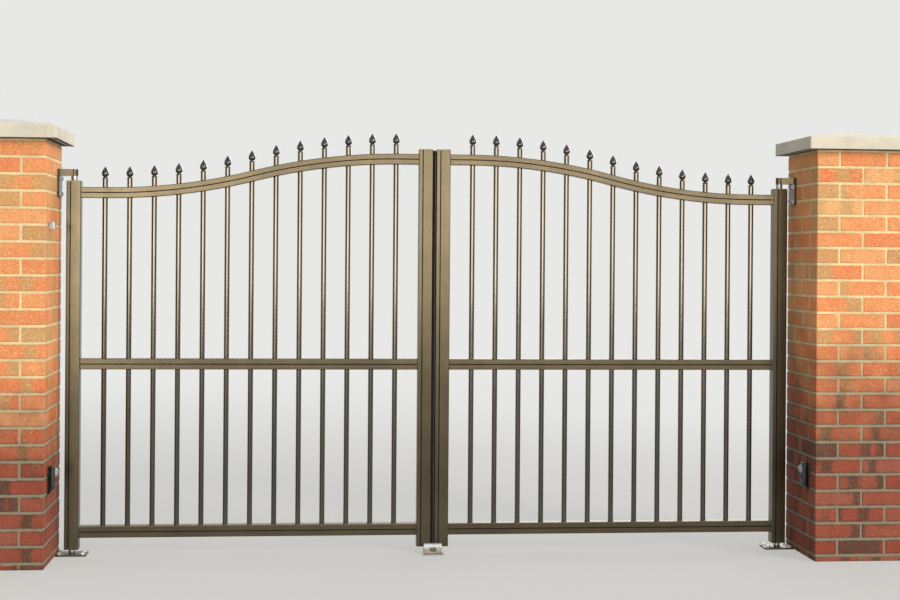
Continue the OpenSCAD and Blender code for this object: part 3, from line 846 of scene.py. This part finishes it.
class GATE_OT_leaf_paint(bpy.types.Operator):
    """Paints the leaves and finishes their bushes, and the black seal and lip that are partly painted
    shade in the gap
    """

    bl_idname = "gate.leaf_paint"
    bl_label = "Leaf paint"

    def execute(self, context):
        s, fittings = context.scene.gate_paint, context.scene.gate_fittings
        hinge_stile, meeting = box("left_hinge_stile"), box("right_meeting_stile")
        middle = hinge_stile.centre[1]
        stile = middle, hinge_stile.size[1] / 2
        rail = middle, box("left_mid_rail").size[1] / 2
        upright, level = (1, 1, 0.02), (0.02, 1, 1)
        finishes = (
            ("stile_paint", dict(stretch=upright, section=stile), ("hinge_stile", "meeting_stile")),
            # The rails' strong dust is partly a painted sheen on their top faces.
            ("rail_paint", dict(stretch=level, section=rail, dust_and_sheen=0.5), ("mid_rail", "bottom_rail")),
            ("gate_paint", dict(section=rail), ("top_rail",)),
            ("cap_paint", dict(), ("stile_caps",)),
        )
        for name, look, parts in finishes:
            paint = paint_material(name, s, **look)
            finish_nodes(paint, *(f"{side}_{part}" for side in SIDES for part in parts))
        finish_nodes(zinc_material("bush_steel", fittings, dull=0.1), "left_bushes", "right_bushes")
        # Painted shade: the rebate strip and the closing lip are near black so that the gap between the
        # leaves reads dark; partly a real rubber seal.
        rubber = plastic_material("seal_rubber_gap_shade", fittings.rubber, matt=0.35, shine=0.15)
        finish_nodes(rubber, "rebate_strip")
        gap, margin = 0.002, 0.008
        ends = [meeting.low[2] + gap, meeting.high[2] - gap]
        depth = meeting.size[1] - 2 * margin
        lip = slab(outline(3, 1, 2), s.lip * 2, depth, s.lip * 0.8, [0, 0], ends)
        lip[..., 0] = np.minimum(lip[..., 0], 0)
        lip += [meeting.low[0], middle, 0]
        piece("closing_lip_gap_shade", [lip], rubber, "right_leaf")
        return {"FINISHED"}


class GATE_OT_bars(bpy.types.Operator):
    """Draws the bars as smooth round rods of the frame's lengths"""

    bl_idname = "gate.bars"
    bl_label = "Bars"

    def execute(self, context):
        s = context.scene.gate_paint
        paint = paint_material("bar_paint", s, stretch=(1, 1, 0.02), rough=-0.1, coat=1.0, waves=0)
        for side in SIDES:
            r, places = stems(side + "_bars")
            radii = r - s.bar_corner * np.array([1, 0, 0, 0, 0, 1])
            steps = s.bar_corner * np.array([0, 1, 4])
            rods = []
            for x, y, foot, top in places:
                heights = np.concatenate([foot + steps, top - steps[::-1]])
                rods.append(placed(turned(radii, heights, 36), (x, y, 0)))
            made = piece(side + "_bar_rods", rods, paint, side + "_leaf")
            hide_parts(side + "_bars")
        return {"FINISHED"}


def drop(radius, neck, tall, steps=22):
    """Radii and heights of a drop: radius sin t sin(t/2)^1.2 at height cos t, from neck to tip.

    Both are scaled to the largest radius and the height. t runs from the foot, where the
    radius is that of the neck, to a blunt tip.
    """
    t = np.linspace(np.pi, 0.34, 400)
    girth = np.sin(t) * np.sin(t / 2) ** 1.2
    girth *= radius / girth.max()
    foot = np.argmax(girth > neck)
    picked = np.unique(np.linspace(foot, len(t) - 1, steps).astype(int))
    level = np.cos(t[picked])
    level = (level - level[0]) / (level[-1] - level[0]) * tall
    radii = np.append(girth[picked], [girth[-1] * 0.75, girth[-1] * 0.3])
    return radii, np.append(level, [tall + 0.0003, tall + 0.0005])


class GATE_OT_finials(bpy.types.Operator):
    """Turns the finials: a collar, a short neck and a drop with a blunt tip"""

    bl_idname = "gate.finials"
    bl_label = "Finials"

    def execute(self, context):
        s = context.scene.gate_paint
        metal = paint_material("finial_metal", s, dust_and_sheen=0.1, rough=-0.1, main=s.finial, coat=1.0, waves=0)
        edge = s.collar * (1 - 0.07 * np.array([1, 0.3, 0, 0, 0.3, 1]))
        lift = s.collar_height * np.array([0, 0.12, 0.3, 0.7, 0.88, 1])
        neck = s.neck * np.array([1.25, 1.06, 1.0])
        rise = s.collar_height + s.neck_height * np.array([0.06, 0.3, 0.6])
        body, level = drop(s.drop, s.neck * 1.02, s.drop_height)
        level += s.collar_height + s.neck_height
        rings = turned(np.concatenate([edge, neck, body]), np.concatenate([lift, rise, level]), 36)
        for side in SIDES:
            _, places = stems(side + "_finials")
            parts = [placed(rings, (x, y, foot)) for x, y, foot, _ in places]
            made = piece(side + "_finial_drops", parts, metal, side + "_leaf")
            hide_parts(side + "_finials")
        return {"FINISHED"}


def rims(node, centre, radius, angles):
    """Heights of the lower and the upper rim of a bar's hole in a rail, at angles round the bar."""
    close = 0.0002
    points = coordinates(node)
    away = points[:, :2] - centre
    on = np.abs(np.hypot(*away.T) - radius) < close
    turn, height = np.arctan2(away[on, 1], away[on, 0]), points[on, 2]
    middle = (height.min() + height.max()) / 2
    halves = height < middle, height > middle
    return [np.interp(angles, turn[half], height[half], period=TAU) for half in halves]


def bar_weld(centre, radius, heights, angles, bead, ripple):
    """Rings of a weld round a bar: a circle of radius bead carried round it at given heights."""
    circle = round_about(5)[:, None]
    thick = bead * (1 + ripple)
    out = radius + thick * np.cos(circle)
    z = heights + thick * np.sin(circle)
    return np.stack([centre[0] + out * np.cos(angles), centre[1] + out * np.sin(angles), z], -1)


class GATE_OT_welds(bpy.types.Operator):
    """Lays the small dressed welds between bars, rails and stiles"""

    bl_idname = "gate.welds"
    bl_label = "Welds"

    def execute(self, context):
        s = context.scene.gate_paint
        paint = bpy.data.materials["cap_paint"]
        angles = np.linspace(-np.pi, np.pi, 12, endpoint=False)
        draw = np.random.default_rng(11)
        bore_clear = 0.0003
        for side in SIDES:
            r, places = stems(side + "_bars")
            foot = box(side + "_bottom_rail").high[2]
            rings = []
            for x, y, *_ in places:
                centre = np.array([x, y])
                levels = [np.full(len(angles), foot)]
                for rail in ("_mid_rail", "_top_rail"):
                    levels += rims(side + rail, centre, r + bore_clear, angles)
                for level in levels:
                    ripple = draw.uniform(-0.12, 0.12, len(angles))
                    rings.append(bar_weld(centre, r, level, angles, s.weld, ripple))
            body = side + "_leaf"
            piece(side + "_bar_welds", [np.stack(rings)], paint, body, closed=True)
            piece(side + "_rail_welds", [self.rail_welds(s, side)], paint, body, closed=True)
        return {"FINISHED"}

    def rail_welds(self, s, side):
        """Rings of a bead round each end of each rail, where it meets the stile."""
        turn = round_about(8)
        insets, heights = -s.bead * 0.8 * np.cos(turn), s.bead * np.sin(turn)
        factors, corner = outline(3, 8, 8), 0.003
        rings = []
        for name in ("_bottom_rail", "_mid_rail", "_top_rail"):
            rail = box(side + name)
            tall = rail.size[2] if name != "_top_rail" else box(side + "_mid_rail").size[2]
            levels = [rail.low[2] + tall / 2, rail.high[2] - tall / 2]
            if name == "_top_rail" and side == "right":
                levels.reverse()
            bead = slab(factors, rail.size[1], tall, corner, insets, heights)
            for x, z, inward in zip((rail.low[0], rail.high[0]), levels, (1, -1)):
                rings.append(placed(bead, (x, rail.centre[1], z), (inward, 0, 0))[0])
        return np.stack(rings)


def bolt(width, height):
    """Rings of a washer and of the chamfered hexagon head on it."""
    flat, base = width / 2, 0.0018
    washer = turned([flat * 1.45, flat * 1.5, flat * 1.5, flat * 1.42], [0, 0.0002, 0.0016, 0.002])
    radii = flat * np.array([0.99, 1, 1, 0.93, 0.7])
    levels = [base, base + 0.0003, base + height * 0.82, base + height, base + height * 1.02]
    return washer, turned(radii, levels, points=48, flats=6)


class GATE_OT_hinges(bpy.types.Operator):
    """Finishes hinges and floor pivots and bolts them down"""

    bl_idname = "gate.hinges"
    bl_label = "Hinges and pivots"

    def execute(self, context):
        s = context.scene.gate_fittings
        paint = paint_material("hinge_paint", context.scene.gate_paint, dust_and_sheen=0.45, rough=0.05)
        parts = ("hinge_plate", "hinge_arm", "floor_pivot")
        finish_nodes(paint, *(f"{side}_{part}" for side in SIDES for part in parts))
        zinc = zinc_material("bolt_zinc", s, dull=0.08, main=tint(222, 223, 224))
        pivot_plate, under_arm = 0.008, 0.012
        for side, out in INTO_OPENING.items():
            plate, pivot = box(side + "_hinge_plate"), box(side + "_floor_pivot")
            face = plate.high[0] if out > 0 else plate.low[0]
            upper = box(side + "_bushes").high[2] - under_arm
            beside = [(plate.low[i] + s.inset, plate.high[i] - s.inset) for i in range(3)]
            on = [(pivot.low[i] + s.inset, pivot.high[i] - s.inset) for i in range(3)]
            spots = [((face, y, z), (out, 0, 0)) for y in beside[1] for z in (beside[2][0], upper)]
            spots += [((x, y, pivot_plate), (0, 0, 1)) for y in on[1] for x in on[0]]
            bolts = bolt(s.head, s.head_height)
            parts = [np.concatenate([placed(rings, *spot) for spot in spots]) for rings in bolts]
            piece(side + "_hinge_bolts", parts, zinc, "piers", smooth=False)
        return {"FINISHED"}


def housing_cover(width, thick, tall, back, radius, nose):
    """Rings of a photocell's cover, from its foot up: depth runs along the second axis.

    Each ring is a round-cornered rectangle as deep as the cover is at that height, cut off
    flat at the back. The depth is full down to nose[0] above the foot and then falls evenly
    to nose[1]. The top and bottom edges are rounded with radius.
    """
    arc = np.radians(np.linspace(0, 90, 5))
    curl = radius * (1 - np.sin(arc))
    low = radius * (1 - np.cos(arc))
    middle = np.linspace(radius, tall - radius, 24)[1:-1]
    kink = np.array([nose[0] - 0.001, nose[0] + 0.001])
    middle = np.sort(np.concatenate([middle[np.abs(middle - nose[0]) > 0.003], kink]))
    heights = np.concatenate([low, middle, tall - low[::-1]])
    insets = np.concatenate([curl, np.zeros(len(middle)), curl[::-1]])
    rings = slab(outline(5, 6, 1), width, 2 * (thick - back), radius, insets, heights)
    depth = np.interp(heights, [0, nose[0]], [nose[1], thick]) - back
    rings[..., 1] = back + np.maximum(rings[..., 1], 0) * (depth / (thick - back))[None, :, None]
    return rings


class GATE_OT_photocells(bpy.types.Operator):
    """Builds the photocells' housings, each with a back plate, a bezel and a screw"""

    bl_idname = "gate.photocells"
    bl_label = "Photocells"

    def execute(self, context):
        s = context.scene.gate_fittings
        plastic = plastic_material("black_plastic", s.plastic)
        zinc = zinc_material("screw_zinc", s, dull=0.1)
        finish_nodes(window_material(s), "left_lens", "right_lens")
        turn = round_about(10)
        spread, rise = s.bezel * (0.6 + np.cos(turn)), s.bezel * (0.9 + np.sin(turn))
        screw = turned(
            [0.0030, 0.0032, 0.0030, 0.0020, 0.0006], [-0.0003, 0.0004, 0.0011, 0.0016, 0.0018], 24
        )
        nose = 0.028, 0.008
        above_nose = 0.011
        for side, out in INTO_OPENING.items():
            cell, lens = box(side + "_photocell"), box(side + "_lens")
            wall, front = (cell.low[0], lens.low[0]) if out > 0 else (cell.high[0], lens.high[0])
            axis = (out, 0, 0)
            parts = self.housing(cell.size, np.array([wall, *cell.centre[1:]]), out, nose)
            housing = piece(side + "_photocell_housing", parts, plastic, "piers")
            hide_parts(side + "_photocell")
            bezel = placed(turned(lens.size[1] / 2 + spread, rise, 64), (front, *lens.centre[1:]), axis)
            piece(side + "_photocell_bezel", [bezel], plastic, "piers", closed=True)
            spot = (wall + out * cell.size[0], cell.centre[1], cell.low[2] + nose[0] + above_nose)
            piece(side + "_photocell_screw", [placed(screw, spot, axis)], zinc, "piers")
        return {"FINISHED"}

    def housing(self, size, centre, out, nose):
        """Rings of the back plate, the neck in the seam and the cover of a photocell."""
        thick, wide, tall = size
        plate, seam, rim = 0.004, 0.0008, 0.0005
        insets = [0.004, 0.0004, 0.0, 0.0, 0.0005, 0.003]
        heights = [0.0, 0.0, rim, plate - rim, plate, plate]
        base = slab(outline(6, 6, 8), wide, tall, 0.008, insets, heights)
        levels = [plate, plate + seam * 1.5]
        neck = slab(outline(3, 4, 4), wide - 0.006, tall - 0.006, 0.004, [0.0, 0.0], levels)
        cover = housing_cover(wide - 2 * rim, thick, tall - 2 * rim, plate + seam, 0.006, nose)
        cover = np.stack([out * cover[..., 1], -out * cover[..., 0], cover[..., 2]], -1)
        cover += centre - [0, 0, tall / 2 - rim]
        axis = (out, 0, 0)
        return [placed(base, centre, axis), placed(neck, centre, axis), cover]


class GATE_OT_ironmongery(bpy.types.Operator):
    """Finishes the floor stop and the wall cleat, with their fixings and a dark rubber sheet inside the
    stop that is painted shade
    """

    bl_idname = "gate.ironmongery"
    bl_label = "Floor stop and cleat"

    def execute(self, context):
        s = context.scene.gate_fittings
        stop, cleat = box("floor_stop"), box("wall_cleat")
        galvanised = zinc_material("galvanised", s, main=tint(232, 236, 240), foot=0.05)
        finish_nodes(galvanised, "floor_stop")
        cleat_zinc = zinc_material("cleat_zinc", s, dull=0.12)
        finish_nodes(cleat_zinc, "wall_cleat")
        stud = turned([0.003, 0.0035, 0.0035, 0.003], [0.0, 0.0005, 0.0125, 0.013], 24)
        spot = (stop.centre[0], stop.high[1] - stop.size[1] * 0.44, 0.0)
        parts = [placed(rings, spot) for rings in (stud, *bolt(s.anchor, 0.006))]
        piece("floor_stop_anchor", parts, cleat_zinc, "piers", smooth=False)
        # Painted shade: a near-black sheet on the floor inside the stop darkens what its slot shows.
        rubber = plastic_material("stop_shade_rubber", s.plastic, matt=0.35, shine=0.15)
        insets, levels = [0.001, 0, 0, 0.001], [0, 0.001, 0.002, 0.003]
        shade_sheet = slab(outline(4, 3, 2), 0.074, 0.034, 0.003, insets, levels)
        shade_sheet += [stop.centre[0], stop.high[1] - 0.026, 0]
        piece("floor_stop_shade_sheet", [shade_sheet], rubber, "piers")
        screw = turned(
            [0.003, 0.0046, 0.0046, 0.0036, 0.001], [-0.0001, 0.0004, 0.0016, 0.0026, 0.0029], 24
        )
        under_web = cleat.high[2] - 0.004
        spot = (cleat.high[0] - cleat.size[0] * 0.45, cleat.centre[1], under_web)
        piece("wall_cleat_screw", [placed(screw, spot, (0, 0, -1))], galvanised, "piers")
        return {"FINISHED"}


class GATE_OT_stage(bpy.types.Operator):
    """Sets up the floor, the lamps, the sky and the camera"""

    bl_idname = "gate.stage"
    bl_label = "Stage"

    def execute(self, context):
        scene = context.scene
        s = scene.gate_stage
        reach, deep, skin = 60.0, 0.02, 0.0005
        disc = turned([reach * 0.3, reach, reach, reach * 0.3], [-deep, -deep, -skin, -skin], 96)
        vertices, faces = surface(disc)
        mesh = bpy.data.meshes.new("floor")
        mesh.from_pydata(vertices.tolist(), [], faces)
        mesh.materials.append(floor_material(s))
        floor = bpy.data.objects.new("floor", mesh)
        scene.collection.objects.link(floor)
        self.lamps(s, scene)
        self.sky(s, scene)
        self.camera(s, scene)
        scene.view_settings.view_transform = "Standard"
        return {"FINISHED"}

    def lamps(self, s, scene):
        """Two soft lights in front for the gloss of the metal and one for the matt faces.

        The key light from the right and the one behind serve both.
        """
        warm, cool = (1.0, 0.93, 0.81), (0.95, 0.97, 1.0)
        middle = Vector((GATE_MIDDLE, 0.0, 1.1))
        lights = {
            "front": (s.front, (2.3, -10.2, 2.15), (13.0, 2.5), warm, "gloss"),
            "left": (s.left, (-1.3, -10.2, 1.25), (1.9, 2.1), warm, "gloss"),
            "fill": (s.fill, (2.5, -10.2, 2.6), (8.0, 3.0), warm, "matt"),
            "key": (s.key, (44.0, -38.0, 21.0), (18.0, 18.0), warm, "both"),
            "back": (s.back, (5.5, 8.5, 4.5), (6.0, 4.0), cool, "both"),
        }
        for name, (watts, place, size, tone, role) in lights.items():
            data = bpy.data.lights.new(name, "AREA")
            data.shape, data.size, data.size_y = "RECTANGLE", *size
            data.energy, data.color = watts, tone
            lamp = bpy.data.objects.new(name, data)
            lamp.location = place
            lamp.visible_camera = False
            lamp.visible_diffuse = role != "gloss"
            lamp.visible_glossy = role != "matt"
            lamp.rotation_euler = (middle - lamp.location).to_track_quat("-Z", "Y").to_euler()
            scene.collection.objects.link(lamp)

    def sky(self, s, scene):
        """Soft light from all round, stronger on the right and overhead, before a pale backdrop."""
        world = bpy.data.worlds.new("sky")
        scene.world = world
        world.use_nodes = True
        t = Shader(world.node_tree)
        t.tree.nodes.clear()
        way = t.split(t.add("TexCoord").outputs["Generated"])
        strength = t.line(way["X"], s.side, s.sky)
        strength = t.line(t.calc("MAXIMUM", way["Z"], 0.0), s.above, strength)
        light = t.add("Background", {"Color": (0.96, 0.98, 1.0), "Strength": strength})
        seen = t.add("Background", {"Color": s.backdrop, "Strength": 1.0})
        both = t.add("MixShader", {0: t.seen_only(), 1: light.outputs[0], 2: seen.outputs[0]})
        t.join(t.tree.nodes.new("ShaderNodeOutputWorld").inputs[0], both.outputs[0])

    def camera(self, s, scene):
        """A level camera at the photograph's place, with its frame shifted down a little."""
        data = bpy.data.cameras.new("camera")
        data.lens, data.sensor_width = s.lens, 36
        data.shift_y = s.shift
        data.clip_end = 200
        camera = bpy.data.objects.new("camera", data)
        camera.location = s.eye
        camera.rotation_euler = (np.radians(90), s.roll, s.turn)
        scene.collection.objects.link(camera)
        scene.camera = camera


STEPS = (
    GATE_OT_brickwork, GATE_OT_caps, GATE_OT_leaf_paint, GATE_OT_bars, GATE_OT_finials, GATE_OT_welds,
    GATE_OT_hinges, GATE_OT_photocells, GATE_OT_ironmongery, GATE_OT_stage,
)
SETTINGS = {
    "gate_bricks": GateBrickSettings,
    "gate_caps": GateCapSettings,
    "gate_paint": GatePaintSettings,
    "gate_fittings": GateFittingSettings,
    "gate_stage": GateStageSettings,
}


class GATE_PT_panel(bpy.types.Panel):
    """Lists the steps that build the gate's looks"""

    bl_idname = "GATE_PT_panel"
    bl_label = "Driveway gate"
    bl_space_type = "VIEW_3D"
    bl_region_type = "UI"
    bl_category = "Gate"

    def draw(self, context):
        for step in STEPS:
            self.layout.operator(step.bl_idname)


def register():
    for made in (*SETTINGS.values(), *STEPS, GATE_PT_panel):
        bpy.utils.register_class(made)
    for key, made in SETTINGS.items():
        setattr(bpy.types.Scene, key, PointerProperty(type=made))


def unregister():
    for key in SETTINGS:
        delattr(bpy.types.Scene, key)
    for made in reversed((*SETTINGS.values(), *STEPS, GATE_PT_panel)):
        bpy.utils.unregister_class(made)


def main():
    register()
    bpy.ops.gate.brickwork()
    bpy.ops.gate.caps()
    bpy.ops.gate.leaf_paint()
    bpy.ops.gate.bars()
    bpy.ops.gate.finials()
    bpy.ops.gate.welds()
    bpy.ops.gate.hinges()
    bpy.ops.gate.photocells()
    bpy.ops.gate.ironmongery()
    bpy.ops.gate.stage()
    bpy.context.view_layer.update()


if __name__ == "__main__":
    main()
